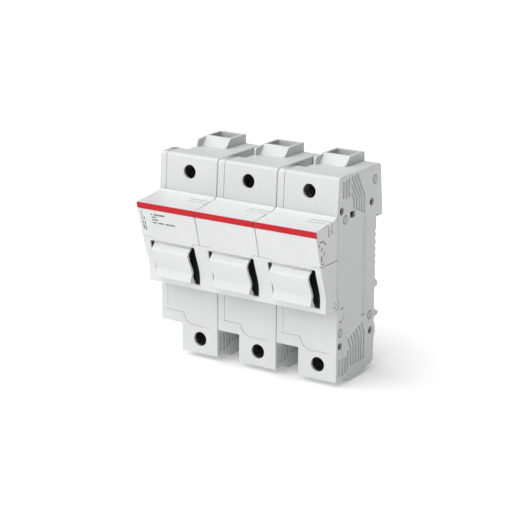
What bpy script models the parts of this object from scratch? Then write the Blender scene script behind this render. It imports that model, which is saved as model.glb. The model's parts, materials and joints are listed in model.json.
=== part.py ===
"""Three-pole cartridge fuse holder for a 35 mm mounting rail.

X runs along the row of poles, Y from the operating face (-Y) to the rail (+Y), Z up.
Sizes are in millimetres up to place(), which writes metres. While a piece is modelled, X starts at the
left side of the first pole, Y at the lower front face and Z at the foot of the terminal tabs. place()
moves all of it so that the origin is the middle of the rail seat.
"""
import math

import bmesh
import bpy
from mathutils import Vector

MM = 0.001

# Driving dimensions
POLES = 3
PITCH = 35.0                # two 17.5 mm modules for each pole
SIDE_GAP = 0.15             # half of the gap between neighbouring poles
WALL = 1.6
RAIL_FACE = 37.0            # seat of the rail
RAIL_TOP = 77.4             # bottom of the slot that takes the rail's upper flange
RAIL_HEIGHT = 35.0
HOOK_FACE = 76.0            # underside of the block that hooks over the rail
BODY_TOP = 103.0
GROOVE_PITCH = 3.6          # grooves across the rail's seat
GROOVE_RADIUS = 1.45
GROOVE_OFFSET = 0.45        # groove centres behind the seat
BODY_WIDTH = POLES * PITCH
COVER_EDGE = 4.1            # joint between the narrow cover and the main shell
JOINT_GAP = 0.16
WINDOW = (37.6, 83.2)       # height range of the opening for the fuse carrier
PIVOT = (-1.8, 40.4)        # carrier axis, Y and Z
ROD_RADIUS = 1.1
BORE_RADIUS = 1.4
BOSS_RADIUS = 3.2
RELIEF_RADIUS = 3.6

NOTCH = (12.9, 24.0, 14.6)  # width, depth and height of the corner beside the lower terminal tab
POCKET = (9.2, 11.8, 33.0, 88.0)    # width, front, back and floor of the upper corner pocket

FUSE_X = 17.5
FUSE_Y = 12.8
FUSE_RADIUS = 11.0
FUSE_BOTTOM = 15.8
FUSE_LENGTH = 58.0
CAP_LENGTH = 16.0
CERAMIC_RADIUS = 10.1

UPPER_SCREW = (18.3, 94.6)  # X and Z of the terminal screws
LOWER_SCREW = (24.1, 7.8)
UPPER_HOLE = 3.55           # radii of the screwdriver holes in the front
LOWER_HOLE = 3.75

HANDLE_SPLIT = 62.62        # joint between the label fronts and the common handle
CARRIER_BACK = -0.15        # rear edge of the label fronts and of the top of the handle
APRON = ((6.3, 30.9), 60.9)     # X range and foot of the lip of a label front that covers the joint
FLAP_TOP = 20.6             # below this the main shell's front wall runs on to the edge of the pole
STRIPE = (77.9, 81.1)
PANEL_FOOT = (-15.6, 62.7)
PANEL_HEAD = (-20.4, 80.9)

ORIGIN = (BODY_WIDTH / 2, RAIL_FACE, RAIL_TOP - RAIL_HEIGHT / 2)


# Materials
def material(name, colour, roughness, metallic=0.0):
    mat = bpy.data.materials.new(name)
    mat.use_nodes = True
    shader = mat.node_tree.nodes["Principled BSDF"]
    shader.inputs["Base Color"].default_value = (*colour, 1.0)
    shader.inputs["Roughness"].default_value = roughness
    shader.inputs["Metallic"].default_value = metallic
    mat.diffuse_color = (*colour, 1.0)
    return mat


def make_materials():
    return {
        "housing": material("housing_plastic", (0.78, 0.79, 0.80), 0.45),
        "handle": material("handle_plastic", (0.88, 0.89, 0.89), 0.40),
        "inner": material("carrier_plastic", (0.03, 0.03, 0.035), 0.50),
        "plug": material("plug_plastic", (0.66, 0.67, 0.68), 0.50),
        "red": material("stripe_plastic", (0.70, 0.01, 0.03), 0.40),
        "copper": material("contact_metal", (0.80, 0.66, 0.45), 0.30, 1.0),
        "zinc": material("clamp_steel", (0.55, 0.55, 0.56), 0.35, 1.0),
        "screw": material("screw_steel", (0.10, 0.10, 0.11), 0.40, 1.0),
        "ceramic": material("fuse_ceramic", (0.86, 0.83, 0.77), 0.55),
        "silver": material("fuse_cap", (0.72, 0.72, 0.72), 0.25, 1.0),
        "clip": material("clip_plastic", (0.70, 0.71, 0.72), 0.50),
    }


# Mesh helpers, all in millimetres
def new_object(name, mesh_data):
    mesh = bpy.data.meshes.new(name)
    bmesh.ops.recalc_face_normals(mesh_data, faces=mesh_data.faces)
    mesh_data.to_mesh(mesh)
    mesh_data.free()
    obj = bpy.data.objects.new(name, mesh)
    bpy.context.scene.collection.objects.link(obj)
    return obj


def prism(name, outline, low, high, axis="X", chamfer=0.0):
    """Extrude an outline along an axis. Its points are (Y, Z), (X, Z) or (X, Y) for axis X, Y or Z."""
    spread = {"X": lambda p, h: (h, p[0], p[1]),
              "Y": lambda p, h: (p[0], h, p[1]),
              "Z": lambda p, h: (p[0], p[1], h)}[axis]
    data = bmesh.new()
    base = data.faces.new([data.verts.new(spread(point, low)) for point in outline])
    moved = bmesh.ops.extrude_face_region(data, geom=[base])["geom"]
    verts = [item for item in moved if isinstance(item, bmesh.types.BMVert)]
    shift = Vector(spread((0, 0), high)) - Vector(spread((0, 0), low))
    bmesh.ops.translate(data, verts=verts, vec=shift)
    if chamfer:
        far = [item for item in moved if isinstance(item, bmesh.types.BMFace)][0]
        bmesh.ops.bevel(data, geom=list(far.edges), offset=chamfer, segments=1, affect="EDGES")
    return new_object(name, data)


def box(name, x, y, z):
    outline = [(y[0], z[0]), (y[1], z[0]), (y[1], z[1]), (y[0], z[1])]
    return prism(name, outline, x[0], x[1])


def circle(centre, radius, sides, start=0.0, sweep=360.0):
    """Points on an arc, which closes when the sweep is a full turn."""
    count = sides if sweep == 360.0 else sides + 1
    angles = [math.radians(start + sweep * i / sides) for i in range(count)]
    return [(centre[0] + radius * math.cos(a), centre[1] + radius * math.sin(a)) for a in angles]


def cylinder(name, centre, radius, low, high, axis="X", sides=24):
    return prism(name, circle(centre, radius, sides), low, high, axis)


def ribbon(path, width):
    """Outline of a stroke of even width along a path, with mitred corners."""
    points = [Vector(p) for p in path]
    left = []
    right = []
    for i, point in enumerate(points):
        before = (point - points[i - 1]).normalized() if i else None
        after = (points[i + 1] - point).normalized() if i + 1 < len(points) else None
        first = before or after
        second = after or before
        normal = Vector((-(first + second).y, (first + second).x)).normalized()
        reach = width / 2 / max(0.3, normal.dot(Vector((-first.y, first.x))))
        left.append(tuple(point + normal * reach))
        right.append(tuple(point - normal * reach))
    return left + right[::-1]


def combine(obj, other, operation="DIFFERENCE"):
    """Apply a Boolean with another object, and remove that object."""
    step = obj.modifiers.new("step", "BOOLEAN")
    step.operation = operation
    step.solver = "EXACT"
    step.object = other
    graph = bpy.context.evaluated_depsgraph_get()
    mesh = bpy.data.meshes.new_from_object(obj.evaluated_get(graph))
    obj.modifiers.clear()
    obj.data = mesh
    bpy.data.objects.remove(other)
    return obj


def cut(obj, *tools):
    for tool in tools:
        combine(obj, tool)
    return obj


def add(obj, *others):
    for other in others:
        combine(obj, other, "UNION")
    return obj


def place(obj, mat, pivot=ORIGIN, smooth=0.0):
    """Scale to metres and set the object's origin at a pivot given in modelling coordinates."""
    data = bmesh.new()
    data.from_mesh(obj.data)
    bmesh.ops.dissolve_degenerate(data, dist=1e-4, edges=data.edges)
    bmesh.ops.translate(data, verts=data.verts, vec=-Vector(pivot))
    bmesh.ops.scale(data, verts=data.verts, vec=(MM, MM, MM))
    data.to_mesh(obj.data)
    data.free()
    obj.location = (Vector(pivot) - Vector(ORIGIN)) * MM
    obj.data.materials.clear()
    obj.data.materials.append(mat)
    if smooth:
        obj.data.shade_smooth()
        obj.data.set_sharp_from_angle(angle=math.radians(smooth))
    return obj


def shifted(span, offset):
    return (span[0] + offset, span[1] + offset)


# Fixed housing
def housing_outline():
    """Side view of a pole without its carrier, as (Y, Z), from the foot of the tab round by the top."""
    front = [(0.0, 0.0), (0.0, WINDOW[1]), (-0.6, WINDOW[1]), (0.6, 101.4), (1.1, 102.4), (2.2, BODY_TOP)]
    head = [(39.4, 102.8), (40.6, 101.6), (42.9, 79.0), (43.0, HOOK_FACE)]
    hook = [(38.5, HOOK_FACE), (38.5, RAIL_TOP), (36.7, RAIL_TOP), (36.7, 76.5), (RAIL_FACE, 76.5)]
    back = [(RAIL_FACE, 44.0), (36.5, 38.0), (36.4, 22.4), (37.7, 19.6), (37.7, 16.4), (36.3, 12.0),
            (36.6, 9.5), (35.9, 7.4), (36.5, 5.0), (36.2, 2.2), (34.0, 0.3)]
    foot = [(28.4, 0.3), (27.6, -2.4), (12.5, -2.4), (9.5, 0.0)]
    return front + head + hook + back + foot


def cavity_outline():
    """Inside of a pole, as (Y, Z)."""
    front = [(1.5, WALL), (1.5, 101.2)]
    head = [(38.8, 101.0), (40.8, 79.2), (35.3, 79.0)]
    back = [(35.3, 45.0), (34.6, 44.0), (34.6, 2.2), (33.5, WALL)]
    return front + head + back


def corner_spaces(base, skin):
    """The lower notch and the upper pocket, grown by the thickness of their walls."""
    left = base - PITCH
    floor = 0.8 if skin else 0.0
    side = 1.4 * skin
    rim = 0.9 * skin
    notch = box("notch", (left, base + NOTCH[0] + side), (-9.0, NOTCH[1] + 1.2 * skin),
                (-9.0, NOTCH[2] + floor))
    pocket = box("pocket", (left, base + POCKET[0] + rim),
                 (POCKET[1] - 1.2 * skin, POCKET[2] + 1.2 * skin), (POCKET[3] - 1.2 * skin, 120.0))
    return notch, pocket


def hollow(shell, base, x):
    """Hollow out a shell, keeping walls round the notch and the pocket, and open it to the front."""
    cavity = prism("cavity", cavity_outline(), x[0], x[1])
    cut(cavity, *corner_spaces(base, 1))
    cut(shell, cavity, *corner_spaces(base, 0))
    cut(shell, box("window", x, (-1.0, 1.6), WINDOW))
    cut(shell, cylinder("relief", PIVOT, RELIEF_RADIUS, base - 1.0, base + PITCH + 1.0, sides=32))


def rail_grooves(x):
    """Shallow rounded grooves across the rail's seat, in a row about the middle of the rail."""
    middle = ORIGIN[2]
    heights = [middle + GROOVE_PITCH * (i + 0.5) for i in range(-3, 3)]
    centre = RAIL_FACE + GROOVE_OFFSET
    return [cylinder("groove", (centre, z), GROOVE_RADIUS, x[0] - 1.0, x[1] + 1.0, sides=16) for z in heights]


def pivot_lug(shell, inner, outer, sill):
    """A plate beside the shell's wall that carries the carrier's rod."""
    low = PIVOT[1] - 2.5
    high = PIVOT[1] + 2.5
    plate = [(4.5, low), (4.5, high)] + circle(PIVOT, 2.5, 8, 90.0, 180.0)
    add(shell, prism("lug", plate, *inner), box("foot", outer, (sill, 4.0), (low + 0.3, high - 0.3)))
    cut(shell, cylinder("bore", PIVOT, BORE_RADIUS, inner[0] - 1.0, inner[1] + 1.0, sides=16))


def make_cover(pole, mats):
    base = pole * PITCH
    left = base + SIDE_GAP
    edge = base + COVER_EDGE - JOINT_GAP / 2
    shell = prism("pole%d_cover" % (pole + 1), housing_outline(), edge, left, chamfer=0.25)
    hollow(shell, base, (left + WALL, edge + 1.0))
    cut(shell, box("flap_space", (left - 1.0, edge + 1.0), (-1.0, WALL + 0.1), (10.0, FLAP_TOP)))
    cut(shell, *rail_grooves((left, edge)))
    pivot_lug(shell, (base + 2.1, base + 3.8), (left + WALL - 0.4, base + 3.8), 2.3)
    return place(shell, mats["housing"])


# Details on the right side of each main shell, as (Y, Z)
UPPER_SLOTS = ((4.9, 92.2, 100.4), (7.6, 91.8, 100.6), (10.1, 92.0, 101.0))
LOWER_SLOTS = ((3.1, 2.6, 11.2), (6.1, 2.2, 10.9), (8.8, 2.8, 10.9), (11.0, 4.2, 13.8))
RING = (3.6, 34.1)          # centre of a ring groove with a deeper notch above and below
SLOT_WIDTH = 1.35
SLOT_DEPTH = 1.25
STEP = ((23.6, 28.0), (25.2, 26.2), 1.1)     # rim and floor of the upright hollow in Y, and its depth
BEND_HEIGHT = 89.6
DARK_HOLES = ((3.4, 86.2), (32.1, 84.9), (3.4, 18.1), (32.8, 18.5))
PLUG_HOLES = ((6.8, 81.3), (34.9, 95.6), (3.6, 24.8), (31.9, 26.8))
PIN_RADIUS = 2.0            # dark holes and plugs
SEAT_RADIUS = 2.3


def bent_upper_slots():
    """Slots that rise from the side of the window and lean forward to the top of the body."""
    paths = []
    for i in range(5):
        y = 14.8 + 2.5 * i
        low = 85.2 - 1.1 * i
        rise = min(1.65 * (y - 12.4), 101.6 - BEND_HEIGHT)
        paths.append([(y, low), (y, BEND_HEIGHT), (y - rise / 1.65, BEND_HEIGHT + rise)])
    return paths


def bent_lower_slots():
    """Slots that rise from the foot and lean forward, each a little higher than the one before it."""
    paths = []
    for i in range(6):
        y = 13.8 + 2.55 * i
        bend = 14.2 + 0.95 * i
        paths.append([(y, 5.2), (y, bend), (y - 2.7, bend + 5.9)])
    return paths


def side_slots(right):
    x = (right - SLOT_DEPTH, right + 1.0)
    paths = [[(y, low), (y, high)] for y, low, high in UPPER_SLOTS + LOWER_SLOTS]
    paths += bent_upper_slots() + bent_lower_slots()
    return [prism("slot", ribbon(path, SLOT_WIDTH), *x) for path in paths]


def side_openings(right):
    through = (right - WALL - 1.0, right + 1.0)
    tools = [cylinder("hole", centre, PIN_RADIUS, *through, sides=16) for centre in DARK_HOLES]
    blind = (right - 1.2, right + 1.0)
    tools += [cylinder("seat", centre, SEAT_RADIUS, *blind, sides=16) for centre in PLUG_HOLES]
    tools.append(box("latch_slot", through, (11.2, 16.2), (81.0, 84.2)))
    rim, floor, depth = STEP
    section = [(right + 1.0, rim[0]), (right, rim[0]), (right - depth, floor[0]),
               (right - depth, floor[1]), (right, rim[1]), (right + 1.0, rim[1])]
    tools.append(prism("step_groove", section, 28.0, 79.5, "Z"))
    tools.append(prism("ring", ribbon(circle(RING, 3.3, 10, -100.0, 200.0), 0.4), right - 0.35, right + 1.0))
    for y, z in ((4.5, 37.4), (3.1, 30.8)):
        tools.append(box("notch", (right - 1.0, right + 1.0), (y - 1.1, y + 1.1), (z - 0.3, z + 0.3)))
    return tools


def tab_contour(base):
    """A shallow line on the lower face that follows the notch and passes above the screw hole."""
    path = [(base + COVER_EDGE, FLAP_TOP), (base + 14.0, FLAP_TOP)]
    path += circle((base + 20.2, FLAP_TOP), 6.0, 4, 195.0, 60.0)
    path += [(base + 24.0, 14.6), (base + 30.0, 14.6)]
    return prism("contour", ribbon(path, 0.5), -1.0, 0.3, "Y")


def cable_hood(base):
    """Open funnel over the upper terminal, with a sloping front and cut front corners."""
    slope = [(21.6, 102.0), (21.6, 103.0), (26.2, 107.4), (40.2, 107.4), (40.4, 102.0)]
    hood = prism("hood", slope, base + 9.6, base + 25.5)
    for x, turn in ((base + 9.6, 1.0), (base + 25.5, -1.0)):
        corner = [(x - turn, 19.4), (x + 2.2 * turn, 19.4), (x - turn, 24.8)]
        cut(hood, prism("corner", corner, 100.0, 110.0, "Z"))
    wing = prism("wing", [(18.4, 102.0), (18.4, 105.6), (19.4, 106.6), (27.0, 107.4), (27.0, 102.0)],
                 base + 9.6, base + 10.7)
    return add(hood, wing)


def make_main_shell(pole, mats):
    base = pole * PITCH
    left = base + COVER_EDGE + JOINT_GAP / 2
    right = base + PITCH - SIDE_GAP
    shell = prism("pole%d_main_shell" % (pole + 1), housing_outline(), left, right, chamfer=0.3)
    add(shell, cable_hood(base))
    hollow(shell, base, (left - 1.0, right - WALL))
    add(shell, box("flap", (base + SIDE_GAP, left + 1.0), (0.0, WALL - 0.1), (NOTCH[2], FLAP_TOP - 0.15)))
    cut(shell, *rail_grooves((left, right)))
    pivot_lug(shell, (base + 31.3, base + 33.0), (base + 31.3, right - WALL + 0.4), 2.3)
    for (x, z), radius in ((UPPER_SCREW, UPPER_HOLE), (LOWER_SCREW, LOWER_HOLE)):
        cut(shell, cylinder("screw_hole", (base + x, z), radius, -3.0, 3.0, "Y", 32))
    cut(shell, box("hood_mouth", shifted((11.2, 23.9), base), (28.0, 38.4), (99.0, 109.0)),
        box("lower_mouth", shifted((18.2, 30.0), base), (24.0, 32.3), (-4.0, 4.0)),
        box("clip_channel", shifted((8.5, 26.5), base), (35.3, 45.0), (-4.0, 42.4)))
    cut(shell, *side_slots(right))
    cut(shell, *side_openings(right))
    cut(shell, tab_contour(base))
    return place(shell, mats["housing"])


def make_plugs(mats):
    right = BODY_WIDTH - SIDE_GAP
    for i, centre in enumerate(PLUG_HOLES):
        plug = cylinder("side_plug_%d" % (i + 1), centre, PIN_RADIUS, right - 0.9, right + 0.1, sides=16)
        place(plug, mats["plug"])


# Fuse link
def turned(name, profile, centre, sides=32):
    """Spin a profile of (radius, Z) points, which starts and ends on the axis, about an upright axis."""
    data = bmesh.new()
    verts = [data.verts.new((radius, 0.0, z)) for radius, z in profile]
    edges = [data.edges.new(pair) for pair in zip(verts, verts[1:])]
    bmesh.ops.spin(data, geom=verts + edges, cent=(0, 0, 0), axis=(0, 0, 1), angle=2 * math.pi,
                   steps=sides, use_merge=True, use_duplicate=False)
    bmesh.ops.remove_doubles(data, verts=data.verts, dist=1e-4)
    bmesh.ops.translate(data, verts=data.verts, vec=(centre[0], centre[1], 0.0))
    return new_object(name, data)


def fuse_cap(name, centre, end, inward):
    """A cup with a rounded rim at its closed end. Inward is +1 for the lower cap, -1 for the upper."""
    steps = [(0.0, 0.0), (FUSE_RADIUS - 1.3, 0.0), (FUSE_RADIUS - 0.4, 0.4), (FUSE_RADIUS, 1.3),
             (FUSE_RADIUS, CAP_LENGTH), (FUSE_RADIUS - 0.6, CAP_LENGTH), (FUSE_RADIUS - 0.6, 1.2), (0.0, 1.2)]
    return turned(name, [(radius, end + inward * height) for radius, height in steps], centre)


def make_fuse(pole, mats, pivot):
    centre = (pole * PITCH + FUSE_X, FUSE_Y)
    top = FUSE_BOTTOM + FUSE_LENGTH
    name = "pole%d_fuse_" % (pole + 1)
    low = FUSE_BOTTOM + 1.5
    high = top - 1.5
    rod = [(0.0, low), (CERAMIC_RADIUS, low), (CERAMIC_RADIUS, high), (0.0, high)]
    place(turned(name + "body", rod, centre), mats["ceramic"], pivot, 30.0)
    place(fuse_cap(name + "lower_cap", centre, FUSE_BOTTOM, 1.0), mats["silver"], pivot, 30.0)
    place(fuse_cap(name + "upper_cap", centre, top, -1.0), mats["silver"], pivot, 30.0)


# Contacts and terminals
BLADES = ((5.1, 6.2), (28.8, 29.9))     # X ranges of the spring blades beside the fuse caps
UPPER_BLADE = (61.2, 73.0)              # height of the upper blades, clear of the fuse as it swings


def make_upper_contact(pole, mats):
    base = pole * PITCH
    plate = box("pole%d_upper_contact" % (pole + 1), shifted((BLADES[0][0], BLADES[1][1]), base),
                (24.2, 25.4), UPPER_BLADE)
    strap = box("strap", shifted((12.8, 23.8), base), (24.2, 25.4), (70.0, 100.6))
    blades = [box("blade", shifted(blade, base), (7.0, 25.0), UPPER_BLADE) for blade in BLADES]
    return place(add(plate, strap, *blades), mats["copper"])


def make_lower_contact(pole, mats):
    base = pole * PITCH
    bridge = box("pole%d_lower_contact" % (pole + 1), shifted((BLADES[0][0], BLADES[1][1]), base),
                 (26.2, 29.0), (14.2, 16.8))
    bar = [(22.0, 3.4), (23.2, 3.4), (23.2, 14.2), (28.0, 14.2), (28.0, 15.3), (22.0, 15.3)]
    strap = prism("strap", bar, *shifted((18.6, 29.6), base))
    side = [(7.0, 16.2), (26.5, 16.2), (29.0, 16.4), (29.0, 20.0), (24.0, 30.0), (7.0, 30.0)]
    blades = [prism("blade", side, *shifted(blade, base)) for blade in BLADES]
    return place(add(bridge, strap, *blades), mats["copper"])


def make_clamp(name, x, y, z, screw, mat):
    """A steel box open above and below. Its thick front wall is threaded for the screw."""
    wall = 1.4
    front = 2.9
    cage = box(name, x, y, z)
    cut(cage, box("inside", (x[0] + wall, x[1] - wall), (y[0] + front, y[1] - wall), (z[0] - 1, z[1] + 1)))
    cut(cage, cylinder("thread", screw, 2.7, y[0] - 1.0, y[0] + front + 1.0, "Y", 20))
    return place(cage, mat, (screw[0], y[0], screw[1]))


def make_screw(name, centre, tip, mat):
    """Terminal screw with a cross recess in its head. It runs along Y."""
    head = (5.0, 9.0)
    screw = cylinder(name, centre, 3.1, *head, "Y", 24)
    add(screw, cylinder("shank", centre, 2.4, head[1] - 0.5, tip, "Y", 20))
    for wide, tall in ((4.2, 1.1), (1.1, 4.2)):
        recess = box("recess", (centre[0] - wide / 2, centre[0] + wide / 2), (head[0] - 1.0, head[0] + 1.8),
                     (centre[1] - tall / 2, centre[1] + tall / 2))
        cut(screw, recess)
    return place(screw, mat, (centre[0], head[0], centre[1]), 40.0)


def make_terminals(pole, mats):
    base = pole * PITCH
    name = "pole%d_" % (pole + 1)
    upper = (base + UPPER_SCREW[0], UPPER_SCREW[1])
    lower = (base + LOWER_SCREW[0], LOWER_SCREW[1])
    make_clamp(name + "upper_clamp", (upper[0] - 7.3, upper[0] + 7.3), (19.2, 36.8), (88.4, 100.4),
               upper, mats["zinc"])
    make_clamp(name + "lower_clamp", (lower[0] - 7.3, lower[0] + 7.3), (15.6, 33.9), (2.9, 13.7),
               lower, mats["zinc"])
    make_screw(name + "upper_screw", upper, 23.9, mats["screw"])
    make_screw(name + "lower_screw", lower, 21.7, mats["screw"])


# Fuse carrier, which swings on its rod
def make_rod(mats):
    rod = cylinder("carrier_rod", PIVOT, ROD_RADIUS, SIDE_GAP + 0.1, BODY_WIDTH - SIDE_GAP - 0.1, sides=16)
    return place(rod, mats["zinc"], smooth=40.0)


def panel_point(height, depth=0.0):
    """A point on the sloping label front at a height, or a depth behind it."""
    share = (height - PANEL_FOOT[1]) / (PANEL_HEAD[1] - PANEL_FOOT[1])
    return (PANEL_FOOT[0] + share * (PANEL_HEAD[0] - PANEL_FOOT[0]) + depth, height)


def label_front_outline():
    """Side view of a label front. A curved lip at the back of its ledge covers the gap to the housing."""
    lip = [(CARRIER_BACK, 82.9), (-0.8, 82.9), (-0.8, 84.3), (-1.4, 84.3), (-2.2, 83.5), (-3.8, 82.95)]
    return lip + [(-6.8, 82.6), (-19.9, 81.3), PANEL_HEAD, PANEL_FOOT, (CARRIER_BACK, PANEL_FOOT[1])]


def link_grooves(base, right):
    """Two grooves across the right half of the ledge that turn down the side."""
    tools = []
    for y, drop in ((-5.5, 77.2), (-8.4, 76.4)):
        span = (y - 0.5, y + 0.5)
        tools.append(box("groove", (base + 23.0, right + 1.0), span, (81.2, 84.0)))
        tools.append(box("groove", (right - 0.9, right + 1.0), span, (drop, 84.0)))
    return tools


def side_marks(right):
    """Recesses on the side of a label front, round the end of the seal hole."""
    through = (right - 2.0, right + 1.0)
    tools = [cylinder("mark", centre, 0.7, *through, sides=12) for centre in ((-17.4, 73.9), (-13.4, 64.2))]
    for y, low, high in ((-14.6, 70.7, 72.6), (-14.7, 65.6, 68.2)):
        tools.append(prism("slit", ribbon([(y, low), (y, high)], 1.1), *through))
    upper_arc = [(-16.7, 75.3), (-14.6, 75.5), (-12.6, 74.7), (-11.2, 73.3)]
    lower_arc = [(-12.2, 70.3), (-12.6, 69.0), (-13.2, 68.4)]
    tools += [prism("arc", ribbon(arc, 0.7), right - 1.2, right + 1.0) for arc in (upper_arc, lower_arc)]
    return tools


def make_label_front(pole, mats, pivot):
    base = pole * PITCH
    left = base + SIDE_GAP
    right = base + PITCH - SIDE_GAP
    front = prism("pole%d_label_front" % (pole + 1), label_front_outline(), left, right, chamfer=0.3)
    inner = [(1.0, 81.2), (-18.4, 79.6), panel_point(60.0, 1.7), (1.0, 60.0)]
    cut(front, prism("inside", inner, left + 1.5, right - 1.5))
    low, high = STRIPE
    seat = [panel_point(low, 0.7), panel_point(low, -1.0), panel_point(high + 1.0, -1.0),
            panel_point(high + 1.0, 0.7)]
    cut(front, prism("seat", seat, left - 1.0, right + 1.0))
    apron = [panel_point(PANEL_FOOT[1] + 0.2), panel_point(APRON[1]), panel_point(APRON[1], 0.8),
             panel_point(PANEL_FOOT[1] + 0.2, 0.8)]
    add(front, prism("apron", apron, *shifted(APRON[0], base)))
    cut(front, *link_grooves(base, right))
    cut(front, *side_marks(right))
    return place(front, mats["handle"], pivot)


def make_stripe(pole, mats, pivot):
    base = pole * PITCH
    low = STRIPE[0] + 0.1
    strip = [panel_point(low, 0.55), panel_point(low), PANEL_HEAD, (-20.2, 81.0), (-19.75, 81.05)]
    stripe = prism("pole%d_stripe" % (pole + 1), strip, base + 0.3, base + PITCH - 0.3)
    return place(stripe, mats["red"], pivot)


RIM = ((-15.5, HANDLE_SPLIT), (-14.2, 57.4), (-13.3, 54.8), (-11.7, 50.5), (-10.7, 47.4), (-10.3, 44.5),
       (-10.3, 38.0))
GRIP = ((-14.3, 61.9), (-14.1, 60.4), (-14.2, 59.5), (-14.9, 58.6), (-16.2, 57.6), (-16.8, 56.2),
        (-15.7, 53.0), (-14.2, 50.2), (-13.1, 47.8), (-12.8, 46.3), (-13.4, 44.6), (-14.2, 42.4))
GRIP_FOOT = ((-13.9, 41.6), (-10.6, 40.9), (-10.2, 39.4), (-8.8, 39.4))
GRIP_X = (6.5, 28.4)
HANDLE_WINDOW_X = (4.55, 31.4)
HANDLE_WINDOW_Z = (40.3, 60.7)
SHEET = 1.6


def handle_web(low, high, chamfer=0.0):
    """Upright plate behind the rim, with the round boss for the rod."""
    boss = circle(PIVOT, BOSS_RADIUS, 14, -150.0, 200.0)
    outline = [(CARRIER_BACK, HANDLE_SPLIT), *RIM, (-8.7, 38.0), (-5.6, 38.7), *boss, (-0.35, 44.4)]
    return prism("web", outline, low, high, chamfer=chamfer)


def make_handle(mats, pivot):
    """One handle across all poles: a rim, four webs and a finger grip for each pole."""
    ends = (SIDE_GAP, BODY_WIDTH - SIDE_GAP)
    skin = list(RIM) + [(y + SHEET, z) for y, z in RIM[::-1]]
    handle = prism("common_handle", skin, ends[0] + 0.5, ends[1] - 0.5)
    for pole in range(POLES):
        base = pole * PITCH
        cut(handle, box("opening", shifted(HANDLE_WINDOW_X, base), (-25.0, 0.0), HANDLE_WINDOW_Z))
        grip = GRIP + GRIP_FOOT + tuple((y + SHEET, z) for y, z in GRIP[::-1][1:])
        add(handle, prism("grip", grip, *shifted(GRIP_X, base)))
        foot = APRON[1] - 0.15
        seat = [panel_point(64.0, -3.0), panel_point(foot, -3.0), panel_point(foot, 0.95),
                panel_point(64.0, 0.95)]
        cut(handle, prism("seat", seat, base + APRON[0][0] - 0.15, base + APRON[0][1] + 0.15))
    add(handle, handle_web(ends[0] + SHEET, ends[0], 0.3), handle_web(ends[1] - SHEET, ends[1], 0.3))
    for pole in range(1, POLES):
        add(handle, handle_web(pole * PITCH - 1.65, pole * PITCH + 1.65))
    cut(handle, cylinder("bore", PIVOT, BORE_RADIUS, -1.0, BODY_WIDTH + 1.0, sides=16))
    return place(handle, mats["handle"], pivot)


def make_cradle(pole, mats, pivot):
    """Frame behind the front that carries the fuse: a plate, two arms and two open rings."""
    base = pole * PITCH
    span = shifted((4.3, 30.7), base)
    cradle = box("pole%d_cradle" % (pole + 1), span, (-7.0, -5.4), (39.2, 72.0))
    arm = [(-7.0, 54.0), (-7.0, 43.0)] + circle(PIVOT, 2.9, 6, -160.0, 130.0) + [(3.0, 43.0), (11.0, 43.0),
                                                                               (11.0, 54.0)]
    for x in ((4.3, 5.9), (29.1, 30.7)):
        add(cradle, prism("arm", arm, *shifted(x, base)))
    for z in (43.0, 51.4):
        ring = box("ring", span, (-6.5, 14.0), (z, z + 2.6))
        cut(ring, cylinder("seat", (base + FUSE_X, FUSE_Y), 10.6, z - 1.0, z + 4.0, "Z", 32))
        add(cradle, ring)
    for x in (9.0, 23.5):
        add(cradle, box("rib", shifted((x, x + 2.5), base), (-13.8, -6.0), (64.0, 69.0)))
    cut(cradle, cylinder("bore", PIVOT, BORE_RADIUS, base, base + PITCH, sides=16))
    return place(cradle, mats["inner"], pivot)


# Rail clip
def make_clip(pole, mats):
    """Sliding clip with a tooth behind the lower flange of the rail and a lug to pull it down."""
    base = pole * PITCH
    clip = box("pole%d_rail_clip" % (pole + 1), shifted((9.0, 26.0), base), (35.6, 36.9), (6.0, 41.4))
    nose = [(36.2, 38.6), (41.2, 39.6), (41.2, 41.8), (39.6, 43.4), (38.4, 43.4), (38.4, 41.4), (36.2, 41.4)]
    lug = [(36.2, 29.8), (38.5, 29.2), (39.1, 27.6), (42.2, 26.0), (42.6, 25.2), (42.2, 24.4), (38.0, 23.4),
           (36.2, 23.0)]
    for outline, depth in ((nose, 37.4), (lug, 37.9)):
        wide = [(max(y, depth), z) for y, z in outline]
        add(clip, prism("middle", outline, *shifted((9.0, 26.0), base)))
        add(clip, prism("wide", wide, *shifted((2.0, 33.6), base)))
    cut(clip, box("driver_slot", shifted((14.0, 21.0), base), (38.9, 41.2), (20.0, 32.0)))
    return place(clip, mats["clip"], (base + FUSE_X, RAIL_FACE, 25.0))


def clear_scene():
    for obj in list(bpy.data.objects):
        bpy.data.objects.remove(obj)


def main():
    clear_scene()
    mats = make_materials()
    pivot = (BODY_WIDTH / 2, *PIVOT)
    for pole in range(POLES):
        make_cover(pole, mats)
        make_main_shell(pole, mats)
        make_upper_contact(pole, mats)
        make_lower_contact(pole, mats)
        make_terminals(pole, mats)
        make_fuse(pole, mats, pivot)
        make_label_front(pole, mats, pivot)
        make_stripe(pole, mats, pivot)
        make_cradle(pole, mats, pivot)
        make_clip(pole, mats)
    make_handle(mats, pivot)
    make_rod(mats)
    make_plugs(mats)


main()
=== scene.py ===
"""Looks of a three-pole cartridge fuse holder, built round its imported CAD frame.

Every moulded or stamped CAD node gets a copy with rounded edges, which stands for it. The turned nodes stay
as they are. All materials are procedural and use object coordinates, so they ride with their pieces.
"""
import json
import math
from itertools import combinations

import bmesh
import bpy
from mathutils import Matrix, Vector

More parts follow.
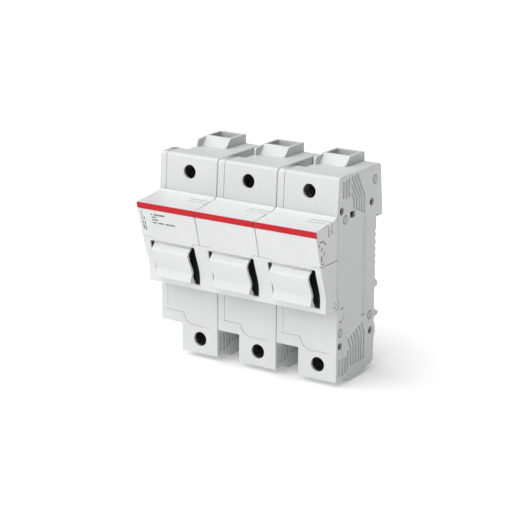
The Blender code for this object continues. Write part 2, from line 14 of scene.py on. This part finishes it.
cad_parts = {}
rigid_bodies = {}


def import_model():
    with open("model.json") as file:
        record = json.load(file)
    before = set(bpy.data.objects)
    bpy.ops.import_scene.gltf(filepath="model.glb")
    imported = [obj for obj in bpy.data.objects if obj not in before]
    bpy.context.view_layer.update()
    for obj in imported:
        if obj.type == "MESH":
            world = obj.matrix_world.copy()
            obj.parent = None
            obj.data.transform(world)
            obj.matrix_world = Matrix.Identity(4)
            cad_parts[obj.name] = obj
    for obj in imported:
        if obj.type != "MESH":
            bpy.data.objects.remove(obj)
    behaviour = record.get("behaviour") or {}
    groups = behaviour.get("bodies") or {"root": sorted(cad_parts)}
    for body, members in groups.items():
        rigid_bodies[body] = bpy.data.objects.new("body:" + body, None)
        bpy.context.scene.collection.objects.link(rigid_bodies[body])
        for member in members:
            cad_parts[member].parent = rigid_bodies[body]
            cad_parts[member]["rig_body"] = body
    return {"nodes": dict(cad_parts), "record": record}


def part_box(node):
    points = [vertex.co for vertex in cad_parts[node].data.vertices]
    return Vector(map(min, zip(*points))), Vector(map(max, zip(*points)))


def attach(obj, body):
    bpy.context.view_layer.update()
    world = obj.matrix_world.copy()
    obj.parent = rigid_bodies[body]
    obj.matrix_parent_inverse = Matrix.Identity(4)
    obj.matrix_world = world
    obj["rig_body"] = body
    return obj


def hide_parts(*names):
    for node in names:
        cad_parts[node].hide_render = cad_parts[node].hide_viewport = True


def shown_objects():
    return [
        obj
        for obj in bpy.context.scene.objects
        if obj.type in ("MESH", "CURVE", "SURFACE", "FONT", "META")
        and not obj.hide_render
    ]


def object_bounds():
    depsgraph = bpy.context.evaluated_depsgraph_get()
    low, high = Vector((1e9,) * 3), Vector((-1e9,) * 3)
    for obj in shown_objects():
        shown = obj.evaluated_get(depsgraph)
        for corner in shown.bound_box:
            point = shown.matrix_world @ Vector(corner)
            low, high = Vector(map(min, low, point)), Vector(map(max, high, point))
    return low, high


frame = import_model()
cad_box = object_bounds()
nodes = frame["nodes"]

MM = 0.001
POLES = 3
SIDE_PLUGS = 4

# Rounding of the edges, in metres and degrees
SHARP_EDGE = 28.0          # edges that bend more than this are rounded
ROUNDING_STEPS = 2
ROUNDING_TRIES = 6
WELD = 0.5e-6
NEARLY_FLAT = 0.8
FOLD_AREA = 1e-8           # square metres
BOX_SLACK = 5e-6
SMOOTH_UP_TO = 50.0        # edges that bend more than this stay sharp in the shading
FLAT_FACE_WEIGHT = 80

# The label front leans back by 4.8 mm over 18.2 mm of its height, from just below the stripe's top
PANEL_LEAN = 4.8 / 18.2
PANEL_TOP_GAP = 0.15 * MM
INK_LIFT = 0.04            # millimetres, as are the places of the print
INK_SINK = 0.03

# Stage, in metres
FLOOR_GAP = 0.0003
FLOOR_REACH = 6.0
FLOOR_GREY = 0.93
FLOOR_GLOW = 0.17
STUDIO_GLOW = 0.18

# Camera, in metres and degrees
CAMERA_PLACE = (0.4942, -0.7830, 0.2577)
CAMERA_TURN = 33.10
CAMERA_TILT = 16.39
CAMERA_ROLL = 0.14
CAMERA_LENS = 130.5
SENSOR = 36.0

# Colours, linear
HOUSING = (0.615, 0.618, 0.622)
HANDLE = (0.640, 0.642, 0.645)
PLUG = (0.450, 0.455, 0.460)
CLIP = (0.560, 0.563, 0.566)
# Cradle black: partly the cradle's own colour, partly painted shade, so the slots beside the grips look as
# dark as the shade inside the handle
BLACK_AND_SLOT_SHADE = (0.018, 0.018, 0.020)
RED = (0.500, 0.002, 0.010)
INK = (0.105, 0.108, 0.115)
TINNED = (0.760, 0.640, 0.460)
ZINC = (0.560, 0.565, 0.575)
BLACK_OXIDE = (0.050, 0.050, 0.055)
SILVER = (0.560, 0.555, 0.545)
CERAMIC = (0.800, 0.770, 0.710)


# Material helpers
def add_node(tree, kind, **settings):
    made = tree.nodes.new(kind)
    for key, value in settings.items():
        setattr(made, key, value)
    return made


def noise(tree, vector, scale, detail=2.0, roughness=0.5):
    made = add_node(tree, "ShaderNodeTexNoise")
    made.inputs["Scale"].default_value = scale
    made.inputs["Detail"].default_value = detail
    made.inputs["Roughness"].default_value = roughness
    tree.links.new(vector, made.inputs["Vector"])
    return made.outputs["Fac"]


def remap(tree, value, low, high, start=0.3, end=0.7):
    made = add_node(tree, "ShaderNodeMapRange")
    for key, number in (("From Min", start), ("From Max", end), ("To Min", low), ("To Max", high)):
        made.inputs[key].default_value = number
    tree.links.new(value, made.inputs["Value"])
    return made.outputs["Result"]


def blend_colours(tree, share, first, second):
    made = add_node(tree, "ShaderNodeMix", data_type="RGBA")
    made.inputs["A"].default_value = (*first, 1.0)
    made.inputs["B"].default_value = (*second, 1.0)
    tree.links.new(share, made.inputs["Factor"])
    return made.outputs["Result"]


def bump(tree, height, depth, strength, under=None):
    made = add_node(tree, "ShaderNodeBump")
    made.inputs["Strength"].default_value = strength
    made.inputs["Distance"].default_value = depth
    tree.links.new(height, made.inputs["Height"])
    if under:
        tree.links.new(under, made.inputs["Normal"])
    return made.outputs["Normal"]


def scaled(tree, vector, scale):
    made = add_node(tree, "ShaderNodeMapping")
    made.inputs["Scale"].default_value = scale
    tree.links.new(vector, made.inputs["Vector"])
    return made.outputs["Vector"]


def shade(colour, factor):
    return tuple(min(1.0, channel * factor) for channel in colour)


def start_material(name):
    mat = bpy.data.materials.new(name)
    mat.use_nodes = True
    tree = mat.node_tree
    shader = tree.nodes["Principled BSDF"]
    place = add_node(tree, "ShaderNodeTexCoord").outputs["Object"]
    return mat, tree, shader, place


# Materials
def plastic(name, colour, roughness, grain=0.000012, uneven=0.02):
    """Moulded plastic: faint flow shading, a fine eroded grain and a slightly uneven sheen."""
    mat, tree, shader, place = start_material(name)
    flow = noise(tree, scaled(tree, place, (1.0, 1.0, 0.45)), 42.0, 3.0)
    dark = shade(colour, 1.0 - uneven)
    light = shade(colour, 1.0 + uneven)
    tone = blend_colours(tree, remap(tree, flow, 0.0, 1.0), dark, light)
    tree.links.new(tone, shader.inputs["Base Color"])
    sheen = noise(tree, place, 260.0, 2.0)
    tree.links.new(remap(tree, sheen, roughness - 0.04, roughness + 0.05), shader.inputs["Roughness"])
    texture = noise(tree, place, 5200.0, 2.0, 0.6)
    sink = noise(tree, place, 120.0, 2.0)
    soft = bump(tree, sink, 0.00004, 0.35)
    tree.links.new(bump(tree, texture, grain, 0.8, soft), shader.inputs["Normal"])
    shader.inputs["IOR"].default_value = 1.52
    return mat


def printed_film(name, colour):
    """Coloured strip: satin film with faint rolled lines along its length."""
    mat, tree, shader, place = start_material(name)
    lines = noise(tree, scaled(tree, place, (60.0, 4000.0, 4000.0)), 1.0, 2.0)
    tone = blend_colours(tree, remap(tree, lines, 0.0, 1.0), shade(colour, 0.96), shade(colour, 1.05))
    tree.links.new(tone, shader.inputs["Base Color"])
    tree.links.new(remap(tree, noise(tree, place, 400.0), 0.42, 0.5), shader.inputs["Roughness"])
    tree.links.new(bump(tree, lines, 0.000006, 0.5), shader.inputs["Normal"])
    shader.inputs["Specular IOR Level"].default_value = 0.25
    return mat


def ink(name, colour):
    """Pad-printed ink, a little broken where the grain of the plastic shows through."""
    mat, tree, shader, place = start_material(name)
    cover = noise(tree, place, 3800.0, 2.0)
    tone = blend_colours(tree, remap(tree, cover, 0.0, 1.0, 0.35, 0.8), colour, shade(colour, 2.6))
    tree.links.new(tone, shader.inputs["Base Color"])
    tree.links.new(remap(tree, cover, 0.48, 0.62), shader.inputs["Roughness"])
    return mat


def metal(name, colour, roughness, stretch):
    """Stamped or turned metal with fine drawn lines and slightly tarnished patches."""
    mat, tree, shader, place = start_material(name)
    drawn = noise(tree, scaled(tree, place, stretch), 1.0, 3.0, 0.6)
    patch = noise(tree, place, 150.0, 4.0)
    tone = blend_colours(tree, remap(tree, patch, 0.0, 1.0, 0.35, 0.72), colour, shade(colour, 0.82))
    tree.links.new(tone, shader.inputs["Base Color"])
    tree.links.new(remap(tree, drawn, roughness - 0.07, roughness + 0.09), shader.inputs["Roughness"])
    tree.links.new(bump(tree, drawn, 0.000004, 0.7), shader.inputs["Normal"])
    shader.inputs["Metallic"].default_value = 1.0
    return mat


def ceramic(name, colour):
    """Unglazed fuse body: chalky, with fine dark specks."""
    mat, tree, shader, place = start_material(name)
    speck = noise(tree, place, 1500.0, 3.0, 0.7)
    tone = blend_colours(tree, remap(tree, speck, 0.0, 1.0, 0.62, 0.74), colour, shade(colour, 0.72))
    tree.links.new(tone, shader.inputs["Base Color"])
    tree.links.new(remap(tree, noise(tree, place, 90.0, 3.0), 0.5, 0.66), shader.inputs["Roughness"])
    tree.links.new(bump(tree, noise(tree, place, 2600.0, 3.0), 0.00002, 0.6), shader.inputs["Normal"])
    return mat


MATERIALS = {
    "housing_plastic": plastic("housing_plastic_look", HOUSING, 0.46),
    "handle_plastic": plastic("handle_plastic_look", HANDLE, 0.38, 0.000008),
    # the cradle's black is partly painted shade for the slots beside the grips
    "carrier_plastic": plastic("carrier_plastic_look", BLACK_AND_SLOT_SHADE, 0.52, 0.00002, 0.2),
    "plug_plastic": plastic("plug_plastic_look", PLUG, 0.5),
    "clip_plastic": plastic("clip_plastic_look", CLIP, 0.44),
    "stripe_plastic": printed_film("stripe_plastic_look", RED),
    "contact_metal": metal("contact_metal_look", TINNED, 0.30, (900.0, 900.0, 45.0)),
    "clamp_steel": metal("clamp_steel_look", ZINC, 0.38, (60.0, 1400.0, 1400.0)),
    "screw_steel": metal("screw_steel_look", BLACK_OXIDE, 0.42, (1600.0, 60.0, 1600.0)),
    "fuse_cap": metal("fuse_cap_look", SILVER, 0.34, (50.0, 50.0, 2200.0)),
    "fuse_ceramic": ceramic("fuse_ceramic_look", CERAMIC),
}
PRINT_INK = ink("print_ink_look", INK)
SLOTS = {row["node"]: row["material_slot"] for row in frame["record"]["subparts"]}


# Rounded copies of the CAD nodes
def point_gap(point, edge):
    """The distance from a point to an edge."""
    start = edge.verts[0].co
    along = edge.verts[1].co - start
    share = (point - start).dot(along) / max(along.length_squared, 1e-18)
    return (point - start - along * min(1.0, max(0.0, share))).length


def crowded_edges(data, room):
    """Edges that run closer than the room needed to another edge of the same face."""
    crowded = set()
    for face in data.faces:
        for first, second in combinations(face.edges, 2):
            if set(first.verts) & set(second.verts):
                continue
            gaps = [point_gap(vert.co, second) for vert in first.verts]
            gaps += [point_gap(vert.co, first) for vert in second.verts]
            if min(gaps) < room:
                crowded.update((first, second))
    return crowded


def has_room(edge, width):
    """True where a rounded edge of this width fits: the edge and its neighbours are long enough."""
    if edge.calc_length() < 2.5 * width:
        return False
    nearby = [other for vert in edge.verts for other in vert.link_edges]
    return min(other.calc_length() for other in nearby) > 1.6 * width


def flat_faces(source):
    """The CAD mesh with its flat faces joined up, so that only real edges are left."""
    data = bmesh.new()
    data.from_mesh(source.data)
    bmesh.ops.remove_doubles(data, verts=data.verts, dist=WELD)
    bmesh.ops.dissolve_limit(data, angle_limit=math.radians(NEARLY_FLAT), verts=data.verts, edges=data.edges)
    return data


def folded_places(data):
    """Corners of the triangles that face against the rest of their face, where a rounded edge ran too far."""
    data.normal_update()
    places = []
    for loops in data.calc_loop_triangles():
        first, second, third = [loop.vert.co for loop in loops]
        doubled = (second - first).cross(third - first)
        if doubled.dot(loops[0].face.normal) < -FOLD_AREA:
            places += [first.copy(), second.copy(), third.copy()]
    return places


def escaped_places(data, source):
    """Points that a rounded edge pushed out of the box of the CAD mesh."""
    corners = [Vector(corner) for corner in source.bound_box]
    low = [min(corner[axis] for corner in corners) - BOX_SLACK for axis in range(3)]
    high = [max(corner[axis] for corner in corners) + BOX_SLACK for axis in range(3)]
    return [vert.co.copy() for vert in data.verts
            if any(not low[axis] < vert.co[axis] < high[axis] for axis in range(3))]


def round_edges(source, width):
    """Round the sharp edges of a mesh. Where the result folds over or leaves the box, they stay sharp."""
    avoid = []
    for attempt in range(ROUNDING_TRIES):
        data = flat_faces(source)
        crowded = crowded_edges(data, 2.3 * width)
        reach = width * (1.5 + 2.0 * attempt)
        sharp = [edge for edge in data.edges
                 if edge.calc_face_angle(0.0) > math.radians(SHARP_EDGE) and edge not in crowded
                 and has_room(edge, width) and all(point_gap(place, edge) > reach for place in avoid)]
        bmesh.ops.bevel(data, geom=sharp, offset=width, segments=ROUNDING_STEPS, profile=0.5,
                        affect="EDGES", clamp_overlap=False)
        bmesh.ops.dissolve_degenerate(data, dist=1e-7, edges=data.edges)
        spoiled = folded_places(data) + escaped_places(data, source)
        if not spoiled:
            return data
        avoid += spoiled
        data.free()
    return flat_faces(source)


def rounded(name, width):
    """A copy of a CAD node whose sharp edges are rounded, which stands for the node."""
    source = nodes[name]
    data = round_edges(source, width)
    mesh = bpy.data.meshes.new(name + "_moulding")
    data.to_mesh(mesh)
    data.free()
    piece = bpy.data.objects.new(name + "_moulding", mesh)
    bpy.context.scene.collection.objects.link(piece)
    finish_piece(piece, SLOTS[name])
    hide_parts(name)
    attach(piece, source["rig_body"])


def finish_piece(piece, slot, mat=None):
    """Smooth shading that keeps flat faces flat, and the slot's material."""
    piece.data.materials.clear()
    piece.data.materials.append(mat or MATERIALS[slot])
    piece.data.shade_smooth()
    piece.data.set_sharp_from_angle(angle=math.radians(SMOOTH_UP_TO))
    flat = piece.modifiers.new("flat_faces", "WEIGHTED_NORMAL")
    flat.keep_sharp = True
    flat.weight = FLAT_FACE_WEIGHT


ROUNDING = {                # radius in millimetres
    "cover": 0.18, "main_shell": 0.18, "label_front": 0.18, "stripe": 0.10, "rail_clip": 0.25, "cradle": 0.25,
    "upper_contact": 0.15, "lower_contact": 0.15, "upper_clamp": 0.25, "lower_clamp": 0.25,
}
for pole in range(1, POLES + 1):
    for part, width_mm in ROUNDING.items():
        rounded("pole%d_%s" % (pole, part), width_mm * MM)
rounded("common_handle", 0.22 * MM)
for plug in range(1, SIDE_PLUGS + 1):
    rounded("side_plug_%d" % plug, 0.15 * MM)

shown_pieces = {piece.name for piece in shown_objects()}
for name, obj in nodes.items():
    if name in shown_pieces:
        obj.data.materials.clear()
        obj.data.materials.append(MATERIALS[SLOTS[name]])


# Print on the first label front: plain bars, with no lettering
label_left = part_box("pole1_label_front")[0].x
stripe_low, stripe_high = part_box("pole1_stripe")


def panel_place(across_mm, below_mm, lift_mm):
    """A point on the leaning front of the first pole: across from its left edge, and below the stripe."""
    height = stripe_low.z - below_mm * MM
    y = stripe_low.y + PANEL_LEAN * (stripe_high.z - PANEL_TOP_GAP - height) - lift_mm * MM
    return Vector((label_left + across_mm * MM, y, height))


def print_bars(name, bars):
    """Thin raised bars of ink. Each bar is (left, right, bottom, top) in millimetres below the stripe."""
    data = bmesh.new()
    for left, right, bottom, top in bars:
        corners = [(left, bottom), (right, bottom), (right, top), (left, top)]
        front = [data.verts.new(panel_place(*corner, INK_LIFT)) for corner in corners]
        back = [data.verts.new(panel_place(*corner, -INK_SINK)) for corner in corners]
        data.faces.new(front)
        data.faces.new(back[::-1])
        for i in range(4):
            j = (i + 1) % 4
            data.faces.new((front[i], back[i], back[j], front[j]))
    bmesh.ops.recalc_face_normals(data, faces=data.faces)
    mesh = bpy.data.meshes.new(name)
    data.to_mesh(mesh)
    data.free()
    piece = bpy.data.objects.new(name, mesh)
    bpy.context.scene.collection.objects.link(piece)
    finish_piece(piece, "handle_plastic", PRINT_INK)
    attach(piece, "carrier")


def text_line(middle, tall, *words):
    """Bars for the words of one line, from the height of its middle, its height and each word's two sides."""
    return [(left, right, middle + tall / 2, middle - tall / 2) for left, right in words]


def text_column(middle, wide, *words):
    """Bars for the words of an upright line, from each word's top and bottom."""
    return [(middle - wide / 2, middle + wide / 2, bottom, top) for top, bottom in words]


rating_lines = text_line(2.5, 0.9, (7.9, 8.6), (9.6, 12.6), (12.9, 16.3))
rating_lines += text_line(3.9, 0.7, (8.3, 9.4), (9.7, 11.0))
rating_lines += text_line(5.4, 0.8, (8.1, 9.7), (10.0, 11.7))
rating_lines += text_line(6.9, 0.8, (7.6, 7.9), (8.6, 10.5), (11.5, 15.0), (16.0, 18.4), (18.7, 21.8))
print_bars("rating_print", rating_lines)

edge_lines = text_column(2.2, 0.35, (1.4, 5.2))
edge_lines += text_column(2.2, 0.65, (5.2, 6.0), (6.6, 8.1), (8.6, 11.4))
edge_lines += text_column(3.4, 0.6, (4.5, 6.0), (7.0, 8.8), (9.2, 11.8))
print_bars("edge_print", edge_lines)


# Stage
def make_floor():
    low = cad_box[0].z - FLOOR_GAP
    reach = FLOOR_REACH
    mesh = bpy.data.meshes.new("floor")
    corners = [(-reach, -reach, low), (reach, -reach, low), (reach, reach, low), (-reach, reach, low)]
    mesh.from_pydata(corners, [], [(0, 1, 2, 3)])
    floor = bpy.data.objects.new("floor", mesh)
    bpy.context.scene.collection.objects.link(floor)
    mat = bpy.data.materials.new("floor_look")
    mat.use_nodes = True
    shader = mat.node_tree.nodes["Principled BSDF"]
    shader.inputs["Base Color"].default_value = (FLOOR_GREY, FLOOR_GREY, FLOOR_GREY, 1.0)
    shader.inputs["Roughness"].default_value = 0.9
    shader.inputs["Specular IOR Level"].default_value = 0.1
    shader.inputs["Emission Color"].default_value = (1.0, 1.0, 1.0, 1.0)
    shader.inputs["Emission Strength"].default_value = FLOOR_GLOW
    mesh.materials.append(mat)


def studio_sun(name, turn, height, softness, strength):
    """A broad soft light from a compass turn and a height angle, all in degrees."""
    around = math.radians(turn)
    up = math.radians(height)
    back = Vector((math.sin(around) * math.cos(up), -math.cos(around) * math.cos(up), math.sin(up)))
    light = bpy.data.lights.new(name, "SUN")
    light.angle = math.radians(softness)
    light.energy = strength
    lamp = bpy.data.objects.new(name, light)
    lamp.location = back
    lamp.rotation_mode = "QUATERNION"
    lamp.rotation_quaternion = back.to_track_quat("Z", "Y")
    bpy.context.scene.collection.objects.link(lamp)


def make_light():
    world = bpy.data.worlds.new("studio")
    world.use_nodes = True
    background = world.node_tree.nodes["Background"]
    background.inputs["Color"].default_value = (1.0, 1.0, 1.0, 1.0)
    background.inputs["Strength"].default_value = STUDIO_GLOW
    bpy.context.scene.world = world
    studio_sun("key", -42.0, 45.0, 90.0, 2.95)
    studio_sun("overhead", 0.0, 84.0, 70.0, 0.95)
    bpy.context.scene.view_settings.view_transform = "Standard"


def make_camera():
    data = bpy.data.cameras.new("camera")
    data.sensor_width = SENSOR
    data.lens = CAMERA_LENS
    data.clip_start = 0.01
    data.clip_end = 50.0
    camera = bpy.data.objects.new("camera", data)
    turn = Matrix.Rotation(math.radians(CAMERA_TURN), 4, "Z")
    tilt = Matrix.Rotation(math.radians(90.0 - CAMERA_TILT), 4, "X")
    roll = Matrix.Rotation(math.radians(CAMERA_ROLL), 4, "Z")
    camera.matrix_world = Matrix.Translation(CAMERA_PLACE) @ turn @ tilt @ roll
    bpy.context.scene.collection.objects.link(camera)
    bpy.context.scene.camera = camera


make_floor()
make_light()
make_camera()
